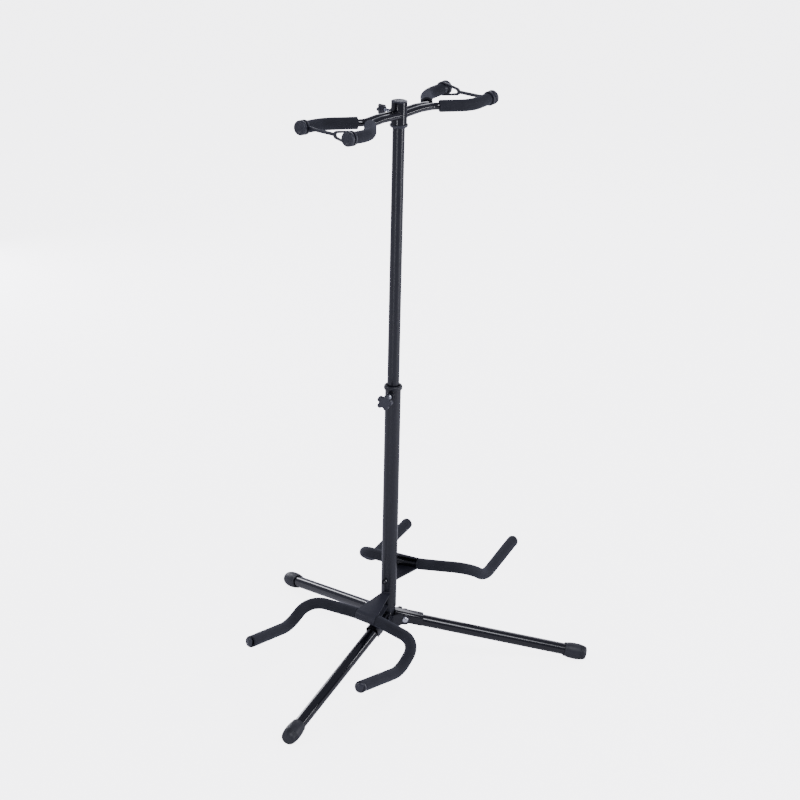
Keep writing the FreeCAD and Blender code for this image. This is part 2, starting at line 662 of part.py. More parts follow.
def end_cap(side):
    """Rubber cap: a neck, and a thick rounded flange with a shallow dished face."""
    flange_in, flange_out = CAP_FLANGE
    bore = FORK_TUBE_R + 0.02
    tube_end = PRONG_END + 0.1
    outline = [
        (bore, FOAM_END + 0.1),
        (CAP_NECK_R, FOAM_END + 0.1),
        (CAP_NECK_R, flange_in - 0.6),
        (CAP_FLANGE_R - 1.0, flange_in),
        (CAP_FLANGE_R, flange_in + 1.6),
        (CAP_FLANGE_R, flange_out - 2.2),
        (CAP_FLANGE_R - 0.7, flange_out - 0.7),
        (CAP_FLANGE_R - 2.2, flange_out),
        (CAP_FLANGE_R - 4.0, flange_out),
        (CAP_FLANGE_R - 4.8, flange_out - 0.8),
        (0, flange_out - 0.8),
        (0, tube_end),
        (bore, tube_end),
    ]
    return along_prong(turned(outline), side)


def disc_hull(near, near_r, far, far_r, thickness):
    """A flat link: two discs joined by their common tangents, standing on the XY plane."""
    gap = far - near
    lean = math.asin((far_r - near_r) / gap)
    corners = []
    for centre, radius in ((near, near_r), (far, far_r)):
        corners.append(vec(centre - radius * math.sin(lean), radius * math.cos(lean), 0))
    outline = [corners[0], corners[1], vec(corners[1].x, -corners[1].y, 0), vec(corners[0].x, -corners[0].y, 0)]
    web = Part.Face(Part.makePolygon(outline + outline[:1])).extrude(vec(0, 0, thickness))
    ends = [Part.makeCylinder(near_r, thickness, vec(near, 0, 0)),
            Part.makeCylinder(far_r, thickness, vec(far, 0, 0))]
    return web.fuse(ends).removeSplitter()


def strap():
    """Rubber closing strap: a collar that turns on one cap's neck, a web, and a loop over the other."""
    near, far = STRAP_SPAN
    thickness = far - near
    across_prongs = 2 * FORK_TIP[0]
    ring = Part.makeCylinder(STRAP_RING_R, thickness)
    root = disc_hull(0, STRAP_ROOT_HALF, STRAP_ROOT, STRAP_WEB_HALF, thickness)
    web = Part.makeBox(STRAP_LOOP_ACROSS - STRAP_ROOT, 2 * STRAP_WEB_HALF, thickness,
                       vec(STRAP_ROOT - 1, -STRAP_WEB_HALF, 0))
    loop = disc_hull(STRAP_LOOP_ACROSS, STRAP_LOOP_R, across_prongs, STRAP_RING_R, thickness)
    eye = disc_hull(STRAP_LOOP_ACROSS + 1, STRAP_LOOP_INNER, across_prongs, CAP_NECK_R + 0.3, thickness)
    shape = ring.fuse([root, web, loop.cut(eye)]).removeSplitter()
    shape = shape.cut(Part.makeCylinder(CAP_NECK_R + PIN_FIT, thickness)).cut(eye)
    shape.translate(vec(0, 0, near))
    return along_prong(shape, -1)


def export(name, shape):
    if not shape.isValid():
        raise ValueError(f"{name} is not a valid solid")
    shape.exportStep(f"parts/{name}.step")


def main():
    os.makedirs("parts", exist_ok=True)

    export("base_post", base_post())
    export("base_post_plug", post_plug())
    export("pole_tube", pole_tube())
    export("cross_bolt", cross_bolt())
    export("cross_nut", cross_nut())
    for name, azimuth in LEG_AZIMUTHS.items():
        export(f"hub_plate_{name}", hub_plate(azimuth))
        export(f"leg_tube_{name}", to_leg(leg_tube(), azimuth))
        export(f"leg_channel_{name}", to_leg(leg_channel(), azimuth))
        export(f"leg_foot_{name}", standing(to_leg(leg_foot(), azimuth)))
    export("leg_rivets", Part.Compound([to_leg(leg_rivet(), a) for a in LEG_AZIMUTHS.values()]))

    for name, yoke in YOKES.items():
        export(f"{name}_yoke_gusset", gusset(name))
        export(f"{name}_yoke_tube", yoke_place(yoke_tube(yoke["shift"]), yoke))
        for label, side in (("a", -1), ("b", 1)):
            export(f"{name}_yoke_foam_{label}", yoke_place(yoke_foam(side, yoke["shift"]), yoke))
            export(f"{name}_yoke_plug_{label}", yoke_place(yoke_plug(side, yoke["shift"]), yoke))

    export("pole_collar", collar())
    export("height_clamp_nut", clamp_nut(POLE_CLAMP, POLE_OD / 2))
    export("height_clamp_pad", clamp_pad(POLE_CLAMP))
    export("height_clamp_screw", clamp_screw(POLE_CLAMP))
    export("height_clamp_knob", clamp_knob(POLE_CLAMP))
    export("mast_tube", mast_tube())
    export("mast_glide_ring", glide_ring())

    export("head_sleeve", head(head_sleeve()))
    export("head_crown", head(head_crown()))
    export("head_bush", head(head_bush()))
    export("head_clamp_nut", head(clamp_nut(HEAD_CLAMP, SLEEVE_R)))
    export("head_clamp_pad", head(clamp_pad(HEAD_CLAMP)))
    export("head_clamp_screw", head(clamp_screw(HEAD_CLAMP)))
    export("head_clamp_knob", head(clamp_knob(HEAD_CLAMP)))
    for name, half_turn in (("front", 0), ("rear", 180)):
        for label, side in (("a", -1), ("b", 1)):
            export(f"{name}_fork_tube_{label}", head(swing(fork_tube(side), half_turn)))
            export(f"{name}_fork_foam_{label}", head(swing(fork_foam(side), half_turn)))
            export(f"{name}_fork_cap_{label}", head(swing(end_cap(side), half_turn)))
        export(f"{name}_strap", head(swing(strap(), half_turn)))


main()
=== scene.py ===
# A double guitar stand in black powder-coated steel tube, with foam-sleeved yokes and forks.
# Metres throughout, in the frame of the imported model: the pole's axis is X = Y = 0, the floor Z = 0.
import json
import math

import bpy
from mathutils import Matrix, Vector, noise


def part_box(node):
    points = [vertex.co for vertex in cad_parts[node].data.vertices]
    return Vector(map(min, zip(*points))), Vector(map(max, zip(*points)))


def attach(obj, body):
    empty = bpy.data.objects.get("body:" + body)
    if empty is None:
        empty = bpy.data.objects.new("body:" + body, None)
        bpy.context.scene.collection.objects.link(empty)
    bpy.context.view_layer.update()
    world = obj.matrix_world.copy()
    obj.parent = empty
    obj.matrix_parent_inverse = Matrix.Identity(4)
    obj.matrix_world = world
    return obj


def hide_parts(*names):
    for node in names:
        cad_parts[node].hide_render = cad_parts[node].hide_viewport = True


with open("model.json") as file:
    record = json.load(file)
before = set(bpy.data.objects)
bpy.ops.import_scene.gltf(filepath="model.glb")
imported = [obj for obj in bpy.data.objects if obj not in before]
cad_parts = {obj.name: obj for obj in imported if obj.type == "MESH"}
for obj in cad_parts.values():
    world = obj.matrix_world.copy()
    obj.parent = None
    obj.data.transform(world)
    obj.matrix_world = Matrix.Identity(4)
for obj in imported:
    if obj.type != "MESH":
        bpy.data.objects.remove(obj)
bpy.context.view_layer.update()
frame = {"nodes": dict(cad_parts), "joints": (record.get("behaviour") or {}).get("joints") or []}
nodes = frame["nodes"]
joints = {joint["name"]: joint for joint in frame["joints"]}
MM = 0.001


# --- camera -----------------------------------------------------------------------------------
# A long lens from the front and a little to the right, looking down on the base, so that the
# uprights stay almost parallel. The camera is held a degree off level.
azimuth, pitch, roll = math.radians(27.2), math.radians(21.4), math.radians(1.3)
stand_off = 3.653
aim_height = 0.4556
aim_right = 0.0112
lens_mm = 104.76
sensor_mm = 36.0
back = Vector((math.sin(azimuth) * math.cos(pitch), -math.cos(azimuth) * math.cos(pitch), math.sin(pitch)))
level_right = Vector((math.cos(azimuth), math.sin(azimuth), 0.0))
level_up = back.cross(level_right)
right = level_right * math.cos(roll) + level_up * math.sin(roll)
up = level_up * math.cos(roll) - level_right * math.sin(roll)
bpy.ops.object.camera_add()
camera = bpy.context.object
camera.name = "camera"
camera.data.lens = lens_mm
camera.data.sensor_width = sensor_mm
place = Vector((0.0, 0.0, aim_height)) + level_right * aim_right + back * stand_off
camera.matrix_world = Matrix.LocRotScale(place, Matrix((right, up, back)).transposed(), None)
bpy.context.scene.camera = camera


# --- studio -----------------------------------------------------------------------------------
# A white paper sweep under large soft boxes. The paper glows a little, as it does when it is lit
# from below as well, so that the shadows under the feet stay faint.
def linear(code):
    """The linear colour of an sRGB hex value, with alpha 1."""
    shades = [int(code[i:i + 2], 16) / 255 for i in (1, 3, 5)]
    return [s / 12.92 if s <= 0.04045 else ((s + 0.055) / 1.055) ** 2.4 for s in shades] + [1.0]


def add(tree, kind, inputs=(), **settings):
    """One node with its settings; inputs pairs a socket with a value or with another node's output."""
    node = tree.nodes.new(kind)
    for name, value in settings.items():
        setattr(node, name, value)
    for socket, value in dict(inputs).items():
        if isinstance(value, bpy.types.NodeSocket):
            tree.links.new(value, node.inputs[socket])
        else:
            node.inputs[socket].default_value = value
    return node


paper_glow = 4.6
wall_strength = 0.50
sweep_strength = 6.0
cool_white = (0.93, 0.94, 1.0)
bpy.ops.mesh.primitive_plane_add(size=40.0)
floor = bpy.context.object
floor.name = "floor"
paper = bpy.data.materials.new("white seamless paper")
paper.use_nodes = True
paper.node_tree.nodes.clear()
sees = add(paper.node_tree, "ShaderNodeLightPath")
glow = add(paper.node_tree, "ShaderNodeMath", {0: sees.outputs["Is Camera Ray"], 1: paper_glow},
           operation="MULTIPLY")
matt = add(paper.node_tree, "ShaderNodeBsdfDiffuse", {"Color": linear("#f4f3f7")})
lit = add(paper.node_tree, "ShaderNodeEmission", {"Color": linear("#fdfcff"), "Strength": glow.outputs[0]})
both = add(paper.node_tree, "ShaderNodeAddShader", {0: matt.outputs[0], 1: lit.outputs[0]})
add(paper.node_tree, "ShaderNodeOutputMaterial", {"Surface": both.outputs[0]})
floor.data.materials.append(paper)

# the tubes reflect dim bluish walls, while the camera sees the bright sweep
sky = bpy.data.worlds.new("white studio")
sky.use_nodes = True
sky.node_tree.nodes.clear()
sees = add(sky.node_tree, "ShaderNodeLightPath")
walls = add(sky.node_tree, "ShaderNodeBackground", {"Color": linear("#d6d8f0"), "Strength": wall_strength})
sweep = add(sky.node_tree, "ShaderNodeBackground", {"Color": linear("#fdfcff"), "Strength": sweep_strength})
either = add(sky.node_tree, "ShaderNodeMixShader",
             {0: sees.outputs["Is Camera Ray"], 1: walls.outputs[0], 2: sweep.outputs[0]})
add(sky.node_tree, "ShaderNodeOutputWorld", {"Surface": either.outputs[0]})
bpy.context.scene.world = sky

# (place, height aimed at, width, height, power) of each soft box; the narrow ones stand low and
# draw the upright bands on the tubes, and the flat one behind draws the line along the front leg
for place, level, width, height, power in (
        ((-2.4, -1.9, 1.9), 0.45, 1.2, 1.8, 24.0),
        ((1.6, -0.9, 2.5), 0.30, 0.5, 1.6, 30.0),
        ((0.15, -2.4, 0.45), 0.50, 0.25, 0.8, 7.0),
        ((2.3, 0.45, 0.60), 0.50, 0.35, 1.1, 13.0),
        ((-2.0, 1.2, 0.70), 0.40, 0.40, 1.3, 16.0),
        ((2.1, 2.1, 1.00), 0.10, 1.3, 0.18, 14.0),
        ((-0.6, 2.8, 1.9), 0.45, 1.6, 1.2, 18.0)):
    bpy.ops.object.light_add(type="AREA", location=place)
    box = bpy.context.object
    box.name = "soft_box"
    box.rotation_euler = (Vector(place) - Vector((0, 0, level))).to_track_quat("Z", "Y").to_euler()
    box.data.shape = "RECTANGLE"
    box.data.size = width
    box.data.size_y = height
    box.data.energy = power
    box.data.color = cool_white


# --- base post and hub plates -----------------------------------------------------------------
# The swaged steel post and the three V-shaped sheet-steel stampings welded round it. All are
# powder coated in black that leans to blue-violet: the post matt, the stampings satin.
def surfaced(name):
    """A new material with an empty tree, and its object coordinates."""
    material = bpy.data.materials.new(name)
    material.use_nodes = True
    material.node_tree.nodes.clear()
    place = add(material.node_tree, "ShaderNodeTexCoord")
    return material, material.node_tree, place.outputs["Object"]


def mottled(tree, place, size, detail, dark, light):
    """A cloud of a size in mm, and a colour that drifts with it between two hex values."""
    cloud = add(tree, "ShaderNodeTexNoise", {"Vector": place, "Scale": 1 / (size * MM), "Detail": detail})
    shade = add(tree, "ShaderNodeMix", {"Factor": cloud.outputs["Fac"], "A": linear(dark),
                                        "B": linear(light)}, data_type="RGBA")
    return cloud.outputs["Fac"], shade.outputs["Result"]


def drifting(tree, cloud, smooth, rough):
    """A roughness that drifts with a cloud between two values."""
    worn = add(tree, "ShaderNodeMapRange", {"Value": cloud, "From Min": 0.3, "From Max": 0.7,
                                            "To Min": smooth, "To Max": rough})
    return worn.outputs[0]


def closed(material, inputs):
    """Closes a material's tree with a principled shader."""
    body = add(material.node_tree, "ShaderNodeBsdfPrincipled", inputs)
    add(material.node_tree, "ShaderNodeOutputMaterial", {"Surface": body.outputs[0]})
    return material


def powder_coat(name, dark, light, smooth, rough, peel):
    """Baked polyester powder: peel is the orange peel's height in mm, drawn 3 mm wide to show."""
    material, tree, place = surfaced(name)
    cloud, shade = mottled(tree, place, 14, 3.0, dark, light)
    grain = add(tree, "ShaderNodeTexNoise", {"Vector": place, "Scale": 1 / (3 * MM), "Detail": 2.0})
    bump = add(tree, "ShaderNodeBump", {"Height": grain.outputs["Fac"], "Strength": 0.6,
                                        "Distance": peel * MM})
    return closed(material, {"Base Color": shade, "Roughness": drifting(tree, cloud, smooth, rough),
                             "IOR": 1.52, "Normal": bump.outputs[0]})


def finish(material, *names):
    """Gives CAD nodes a material."""
    for name in names:
        for slot in nodes[name].material_slots:
            slot.material = material


def picked(piece):
    """Selects a piece alone and makes it active, as the operators act on the selection."""
    bpy.ops.object.select_all(action="DESELECT")
    piece.select_set(True)
    bpy.context.view_layer.objects.active = piece
    return piece


def laid(name, data):
    """A new object from a mesh or a curve, picked."""
    piece = bpy.data.objects.new(name, data)
    bpy.context.scene.collection.objects.link(piece)
    return picked(piece)


def copied(name, node, body):
    """A merged copy of a CAD node, in its place, riding with its body and standing for it."""
    piece = laid(name, nodes[node].data.copy())
    bpy.ops.mesh.customdata_custom_splitnormals_clear()
    bpy.ops.object.mode_set(mode="EDIT")
    bpy.ops.mesh.select_all(action="SELECT")
    bpy.ops.mesh.remove_doubles(threshold=0.01 * MM)
    bpy.ops.mesh.normals_make_consistent(inside=False)
    bpy.ops.object.mode_set(mode="OBJECT")
    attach(piece, body)
    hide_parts(node)
    return piece


def modified(piece, kind, **settings):
    """Adds one modifier to a piece and applies it."""
    bpy.context.view_layer.objects.active = piece
    modifier = piece.modifiers.new(kind.lower(), kind)
    for name, value in settings.items():
        setattr(modifier, name, value)
    bpy.ops.object.modifier_apply(modifier=modifier.name)


def dressed(piece, material, turn=35):
    """Smooth shading up to an angle, and one material in the mesh's only slot."""
    picked(piece)
    bpy.ops.object.shade_smooth_by_angle(angle=math.radians(turn))
    piece.data.materials.clear()
    piece.data.materials.append(material)
    return piece


def softened(name, node, body, radius, material, turn=30):
    """A CAD node with its sharp edges rounded to a radius in mm, as tooling and paint leave them."""
    piece = copied(name, node, body)
    bpy.ops.object.mode_set(mode="EDIT")
    bpy.ops.mesh.select_all(action="SELECT")
    bpy.ops.mesh.dissolve_limited(angle_limit=math.radians(1))
    bpy.ops.object.mode_set(mode="OBJECT")
    modified(piece, "BEVEL", width=radius * MM, segments=3, limit_method="ANGLE",
             angle_limit=math.radians(turn), use_clamp_overlap=True)
    return dressed(piece, material)


def weld_bead(name, points, body, material, half=1.1, ring=False):
    """A fillet weld along points in metres, painted over with the steel: a bead of a half width
    in mm that ripples every 1.7 mm."""
    curve = bpy.data.curves.new(name, "CURVE")
    curve.dimensions = "3D"
    curve.bevel_depth = half * MM
    curve.bevel_resolution = 3
    curve.use_fill_caps = not ring
    spline = curve.splines.new("POLY")
    spline.points.add(len(points) - 1)
    spline.use_cyclic_u = ring
    along = 0.0
    for k, point in enumerate(points):
        along += (point - points[k - 1]).length if k else 0.0
        spline.points[k].co = (*point, 1.0)
        ripple = 0.16 * math.sin(2 * math.pi * along / (1.7 * MM))
        spline.points[k].radius = 1 + ripple + 0.12 * noise.noise(point / (4 * MM))
    laid(name, curve)
    bpy.ops.object.convert(target="MESH")
    piece = bpy.context.object
    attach(piece, body)
    return dressed(piece, material, 60)


def half_width(node):
    """Half of a node's width along X, which is the radius of an upright tube."""
    low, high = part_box(node)
    return (high.x - low.x) / 2


# matt and a little greyer than the tubes, and satin with soft bands of light
matt_coat = powder_coat("matt black powder coat on sheet steel", "#1b1c25", "#22232d", 0.46, 0.56, 0.03)
satin_coat = powder_coat("satin black powder coat on steel", "#101118", "#15161f", 0.26, 0.34, 0.02)
finish(matt_coat, "base_post")
for name in ("front", "right", "left"):
    softened(f"hub_stamping_{name}", f"hub_plate_{name}", "base", 0.5, satin_coat)

# each stamping's inner corner lies against the post, half way between two legs, with a bead to
# each side of it
plate_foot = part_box("hub_plate_front")[0].z
bead_reach = half_width("base_post") + 0.4 * MM
bead_step = 0.4
bead_points = 52
for k in range(6):
    angle = math.radians(-30 + 120 * (k // 2) + (14 if k % 2 else -14))
    ray = Vector((math.cos(angle), math.sin(angle), 0)) * bead_reach
    path = [ray + Vector((0, 0, plate_foot + (1 + bead_step * step) * MM)) for step in range(bead_points)]
    weld_bead(f"hub_weld_{k + 1}", path, "base", matt_coat)


# The post's foot is closed by a pushed-in polypropylene plug, moulded in a spark-eroded tool that
# leaves a fine matt grain.
def moulded_plastic(name, dark, light, rough, grain):
    """Moulded plastic with a spark-eroded grain; grain is its spacing in mm."""
    material, tree, place = surfaced(name)
    cloud, shade = mottled(tree, place, 9, 2.0, dark, light)
    spark = add(tree, "ShaderNodeTexVoronoi", {"Vector": place, "Scale": 1 / (grain * MM)})
    bump = add(tree, "ShaderNodeBump", {"Height": spark.outputs["Distance"], "Strength": 0.5,
                                        "Distance": 0.04 * MM})
    worn = drifting(tree, cloud, rough - 0.06, rough + 0.06)
    return closed(material, {"Base Color": shade, "Roughness": worn, "IOR": 1.49, "Normal": bump.outputs[0]})


# two blacks: ABS a lighter grey with a soft shine, polypropylene darker and duller
abs_plastic = moulded_plastic("spark-eroded black ABS", "#26272f", "#31323b", 0.36, 0.8)
polypropylene = moulded_plastic("moulded black polypropylene", "#1a1b21", "#212229", 0.42, 0.7)
softened("post_foot_plug", "base_post_plug", "base", 0.5, polypropylene)


# --- legs -------------------------------------------------------------------------------------
# 19 mm steel tubes in a gloss black powder coat, which draws the lights as thin lines. Each one
# is pinched in a stamped channel that folds on a zinc-plated rivet.
def zinc_plate(name, dark, light, smooth, rough):
    """Bright zinc: slightly cloudy and bluish."""
    material, tree, place = surfaced(name)
    cloud, shade = mottled(tree, place, 2.5, 4.0, dark, light)
    dull = add(tree, "ShaderNodeMapRange", {"Value": cloud, "To Min": smooth, "To Max": rough})
    return closed(material, {"Base Color": shade, "Roughness": dull.outputs[0], "Metallic": 1.0})


# nearly black with sharp lines of light, and a silver that stands out from it
gloss_coat = powder_coat("gloss black powder coat on steel", "#0a0a10", "#0f0f16", 0.12, 0.17, 0.012)
bright_zinc = zinc_plate("bright zinc plate on steel", "#b9bcc4", "#dcdee4", 0.16, 0.34)
finish(bright_zinc, "leg_rivets")
for name in ("front", "right", "left"):
    finish(gloss_coat, f"leg_tube_{name}")
    softened(f"leg_stamping_{name}", f"leg_channel_{name}", f"leg_{name}", 0.35, gloss_coat)


# Each leg ends in a pushed-on ferrule of moulded rubber: a lip at its mouth, a barrel, three fine
# grooves and a tapered toe, with a flat worn where it stands.
def moulded_rubber(name, dark, light, rough):
    """Black rubber, dusty with bloom: the bloom greys it in soft patches."""
    material, tree, place = surfaced(name)
    bloom, shade = mottled(tree, place, 11, 5.0, dark, light)
    skin = add(tree, "ShaderNodeTexNoise", {"Vector": place, "Scale": 1 / (0.8 * MM), "Detail": 3.0})
    bump = add(tree, "ShaderNodeBump", {"Height": skin.outputs["Fac"], "Strength": 0.5,
                                        "Distance": 0.05 * MM})
    dusty = drifting(tree, bloom, rough - 0.07, rough + 0.07)
    return closed(material, {"Base Color": shade, "Roughness": dusty, "IOR": 1.52, "Normal": bump.outputs[0]})


def run_of(node, towards):
    """The centres of a tube-like node's two end faces and the direction from one to the other.
    Each pass turns the direction closer to the axis and takes a thinner slice of the ends."""
    corners = [vertex.co for vertex in nodes[node].data.vertices]
    along = Vector(towards).normalized()
    for reach in (3 * MM, 1 * MM, 0.3 * MM, 0.3 * MM):
        spans = [corner.dot(along) for corner in corners]
        ends = []
        for edge in (min(spans), max(spans)):
            ring = [corner for corner, span in zip(corners, spans) if abs(span - edge) < reach]
            ends.append(sum(ring, Vector()) / len(ring))
        along = (ends[1] - ends[0]).normalized()
    return ends[0], ends[1], along


def turned(name, outline, foot, along, body, node, sides=72):
    """A round piece from a (radius, height) outline in mm, standing on foot and pointing along; an
    outline that comes back to its start makes a ring, any other one a solid."""
    ring = outline[0] == outline[-1]
    radius, height = outline[0]
    bpy.ops.object.select_all(action="DESELECT")
    bpy.ops.mesh.primitive_circle_add(vertices=sides, radius=radius * MM, location=(0, 0, height * MM),
                                      fill_type="NOTHING" if ring else "NGON")
    piece = bpy.context.object
    piece.name = name
    bpy.ops.object.transform_apply(location=True, rotation=True, scale=True)
    bpy.ops.object.mode_set(mode="EDIT")
    bpy.ops.mesh.select_all(action="SELECT")
    for (last_radius, last_height), (radius, height) in zip(outline, outline[1:]):
        bpy.ops.mesh.extrude_region_move(
            TRANSFORM_OT_translate={"value": (0, 0, (height - last_height) * MM)})
        bpy.ops.transform.resize(value=(radius / last_radius, radius / last_radius, 1),
                                 center_override=(0, 0, height * MM))
    bpy.ops.mesh.select_all(action="SELECT")
    bpy.ops.mesh.remove_doubles(threshold=0.005 * MM)
    bpy.ops.mesh.normals_make_consistent(inside=False)
    bpy.ops.object.mode_set(mode="OBJECT")
    piece.matrix_world = Matrix.LocRotScale(foot, Vector(along).to_track_quat("Z", "Y"), None)
    bpy.ops.object.transform_apply(location=True, rotation=True, scale=True)
    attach(piece, body)
    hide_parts(node)
    return piece


# dull and dusty grey-black
ferrule_rubber = moulded_rubber("moulded black ferrule rubber", "#17181e", "#24252c", 0.48)
ferrule_length = 37.0
ferrule_bore = 9.52
bore_depth = 25.1
tube_gap = 0.1              # between the tube's end and the bore's
ferrule = [(0.5, bore_depth), (ferrule_bore, bore_depth), (ferrule_bore, 0.5), (10.1, 0.0), (11.0, 0.0),
           (11.5, 0.5), (11.6, 1.4), (11.3, 2.3), (11.5, 3.2), (12.3, 6.0), (12.75, 9.0), (13.0, 12.0),
           (13.15, 15.5), (13.2, 18.5), (13.15, 21.5), (13.0, 24.5)]
for groove in range(3):
    start = 25.4 + 2.4 * groove
    wall = 12.9 - 0.42 * groove
    ferrule += [(wall, start), (wall - 0.55, start + 0.3), (wall - 0.6, start + 0.7),
                (wall - 0.1, start + 1.0)]
ferrule += [(11.6, 32.6), (10.9, 34.5), (10.3, 35.7), (9.4, 36.7), (8.3, ferrule_length),
            (3.0, ferrule_length), (0.5, ferrule_length)]
for name in ("front", "right", "left"):
    hinge = joints[f"leg_{name}_fold"]["pos_m"]
    _, far, along = run_of(f"leg_tube_{name}", (hinge[0], hinge[1], 0))
    mouth = far - along * ((bore_depth - tube_gap) * MM)
    foot = turned(f"rubber_ferrule_{name}", ferrule, mouth, along, f"leg_{name}", f"leg_foot_{name}")
    # the flat it stands on
    bpy.ops.object.mode_set(mode="EDIT")
    bpy.ops.mesh.select_all(action="SELECT")
    bpy.ops.mesh.bisect(plane_co=(0, 0, 0), plane_no=(0, 0, 1), use_fill=True, clear_inner=True)
    bpy.ops.object.mode_set(mode="OBJECT")
    dressed(foot, ferrule_rubber, 42)


# --- pole -------------------------------------------------------------------------------------
# 25 mm cold-drawn tube pushed over the post, in the satin coat like the mast that slides in it. A
# black cross bolt with its nut at the front keeps pole and post together.
finish(satin_coat, "pole_tube", "mast_tube")
softened("cross_bolt_black", "cross_bolt", "base", 0.3, gloss_coat)
softened("cross_nut_black", "cross_nut", "base", 0.45, gloss_coat)


# --- body yokes -------------------------------------------------------------------------------
# Two bent tubes carried by gussets of folded sheet, welded to the pole: the sheet wraps the tube
# and meets the pole with its upper and its lower edge.
pole_radius = half_width("pole_tube")
rim_height = 1.8
bead_lift = 0.3
for name, out in (("front", -1), ("rear", 1)):
    softened(f"{name}_folded_gusset", f"{name}_yoke_gusset", "base", 0.6, matt_coat)
    # the sheet's corners on the pole, of which the outermost above and below are the ends of a bead
    corners = [vertex.co for vertex in nodes[f"{name}_yoke_gusset"].data.vertices]
    contact = [c for c in corners if abs(math.hypot(c.x, c.y) - pole_radius) < 0.05 * MM]
    middle_height = sum(c.z for c in contact) / len(contact)
    for edge, side in (("upper", 1), ("lower", -1)):
        flange = [c for c in contact if (c.z - middle_height) * side > 0]
        outermost = max(c.z * side for c in flange)
        rim = [c for c in flange if c.z * side > outermost - rim_height * MM]
        ends = [min(rim, key=lambda c: c.x), max(rim, key=lambda c: c.x)]
        turns = [math.atan2(c.x, c.y * out) for c in ends]
        path = []
        for k in range(45):
            share = k / 44
            angle = turns[0] * (1 - share) + turns[1] * share
            height = ends[0].z * (1 - share) + ends[1].z * share
            path.append(Vector((math.sin(angle) * pole_radius, out * math.cos(angle) * pole_radius,
                                height + bead_lift * side * MM)))
        weld_bead(f"{name}_gusset_weld_{edge}", path, "base", matt_coat, 1.2)
finish(gloss_coat, "front_yoke_tube", "rear_yoke_tube")


# Sleeves of closed-cell NBR foam, blown on with air over the bare tubes: matt, with a skin of fine
# cells, and never quite even in thickness.
def cell_foam(name, dark, light):
    """Closed-cell foam. Its cells are 0.3 mm and are drawn 0.9 mm wide to show."""
    material, tree, place = surfaced(name)
    cloud = add(tree, "ShaderNodeTexNoise", {"Vector": place, "Scale": 1 / (16 * MM), "Detail": 4.0})
    cells = add(tree, "ShaderNodeTexVoronoi", {"Vector": place, "Scale": 1 / (0.9 * MM), "Randomness": 0.9})
    pores = add(tree, "ShaderNodeMapRange", {"Value": cells.outputs["Distance"], "From Min": 0.05,
                                             "From Max": 0.55})
    blend = add(tree, "ShaderNodeMath", {0: cloud.outputs["Fac"], 1: pores.outputs[0]}, operation="MULTIPLY")
    shade = add(tree, "ShaderNodeMix", {"Factor": blend.outputs[0], "A": linear(light), "B": linear(dark)},
                data_type="RGBA")
    bump = add(tree, "ShaderNodeBump", {"Height": cells.outputs["Distance"], "Strength": 0.7,
                                        "Distance": 0.12 * MM})
    dull = add(tree, "ShaderNodeMapRange", {"Value": cloud.outputs["Fac"], "To Min": 0.78, "To Max": 0.92})
    return closed(material, {
        "Base Color": shade.outputs["Result"], "Roughness": dull.outputs[0], "IOR": 1.45,
        "Sheen Weight": 0.12, "Sheen Roughness": 0.5, "Sheen Tint": linear("#b9bdd8"),
        "Normal": bump.outputs[0]})


def foam_sleeve(name, node, body):
    """The foam over a bent tube: evened out into small faces, its cut ends softened, and swollen
    and dimpled a little by noise."""
    piece = copied(name, node, body)
    modified(piece, "REMESH", mode="VOXEL", voxel_size=1.1 * MM)
    modified(piece, "SMOOTH", factor=0.5, iterations=3)
    normals = [vertex.normal.copy() for vertex in piece.data.vertices]
    for vertex, normal in zip(piece.data.vertices, normals):
        swell = 0.20 * noise.noise(vertex.co / (24 * MM)) + 0.06 * noise.noise(vertex.co / (3 * MM))
        vertex.co += normal * (swell * MM)
    dressed(piece, nbr_foam, 80)
    return piece


# the flattest and least shiny black of all, with a faint bloom at its edges
nbr_foam = cell_foam("closed-cell black NBR foam", "#131419", "#24252c")
for name in ("front", "rear"):
    for side in ("a", "b"):
        foam_sleeve(f"{name}_arm_foam_{side}", f"{name}_yoke_foam_{side}", "base")
        # a domed ABS end plug, its skirt in the tube
        low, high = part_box(f"{name}_yoke_plug_{side}")
        arm_low, arm_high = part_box(f"{name}_yoke_foam_{side}")
        outwards = (low + high) / 2 - (arm_low + arm_high) / 2
        inner, _, along = run_of(f"{name}_yoke_plug_{side}", outwards)
        dome = [(0.5, 0), (4.3, 0), (4.7, 0.8), (4.7, 10.0), (8.3, 10.05), (8.8, 10.5), (8.9, 11.2),
                (8.7, 12.2), (8.0, 13.2), (6.8, 14.1), (5.0, 14.7), (2.5, 15.0), (0.5, 15.05)]
        plug = turned(f"{name}_arm_plug_{side}", dome, inner, along, "base", f"{name}_yoke_plug_{side}", 48)
        dressed(plug, abs_plastic)


# --- telescope --------------------------------------------------------------------------------
# The 19 mm mast slides in the pole through a moulded collar with a bulging rim and a funnelled
# mouth; a nylon ring on its hidden foot runs in the pole.
pole_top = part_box("pole_tube")[1].z
liner = (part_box("pole_collar")[0].z - pole_top) / MM
running_fit = 0.1
bore = half_width("mast_tube") / MM + running_fit
rim = [(bore, liner), (10.95, liner), (10.95, 0.0), (12.9, 0.0), (13.8, 0.5), (14.4, 1.4), (14.7, 2.7),
       (14.7, 4.6), (14.5, 5.9), (14.0, 7.0), (13.2, 7.8), (12.5, 8.1), (11.6, 7.9), (10.7, 7.0),
       (10.0, 5.8), (bore, 4.4), (bore, liner)]
collar = turned("collar_with_funnel", rim, Vector((0, 0, pole_top)), (0, 0, 1), "base", "pole_collar", 96)
dressed(collar, polypropylene)
# off-white, and hidden inside the tubes
nylon = moulded_plastic("moulded natural nylon", "#b9b49f", "#c9c5b2", 0.38, 0.9)
finish(nylon, "mast_glide_ring", "height_clamp_pad", "head_clamp_pad")


